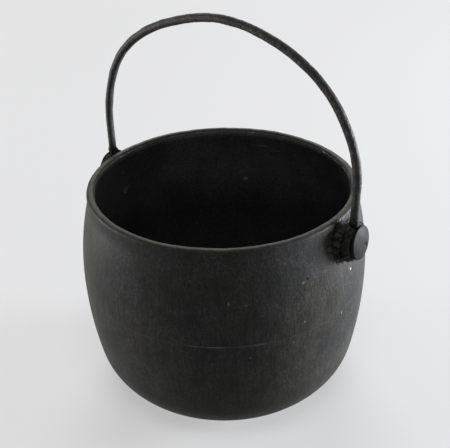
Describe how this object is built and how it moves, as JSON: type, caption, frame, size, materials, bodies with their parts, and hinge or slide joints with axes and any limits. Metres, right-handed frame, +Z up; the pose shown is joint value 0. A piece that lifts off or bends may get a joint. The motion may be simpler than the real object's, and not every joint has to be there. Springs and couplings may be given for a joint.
{
  "type": "bellied cooking pot with bail handle",
  "caption": "Round-bellied cast iron cooking pot with an open mouth, headed ears and a forged rod bail that swings over the mouth.",
  "frame": {"origin": "centre of the flat base, on the surface that the pot stands on", "axes": "+Z up along the pot's axis, +X along the ear axis towards the right ear, +Y towards the side that the eyes of the bail turn to"},
  "size_m": [0.2214, 0.2076, 0.2753],
  "materials": {
    "seasoned_iron": "sand-cast, seasoned black, worn grey along the lip",
    "ear_iron": "cast, rubbed smooth and grey on the head",
    "forged_iron": "hammered and pitted, brown-black with old rust"
  },
  "bodies": {
    "pot": {"pot": "seasoned_iron", "ear_left": "ear_iron", "ear_right": "ear_iron"},
    "bail": {"bail": "forged_iron"}
  },
  "joints": [
    {"name": "bail_swing", "type": "hinge", "parent": "pot", "child": "bail", "pos_m": [0, 0, 0.1425], "axis": [1, 0, 0], "range_deg": [-125.5, 125.5]}
  ]
}
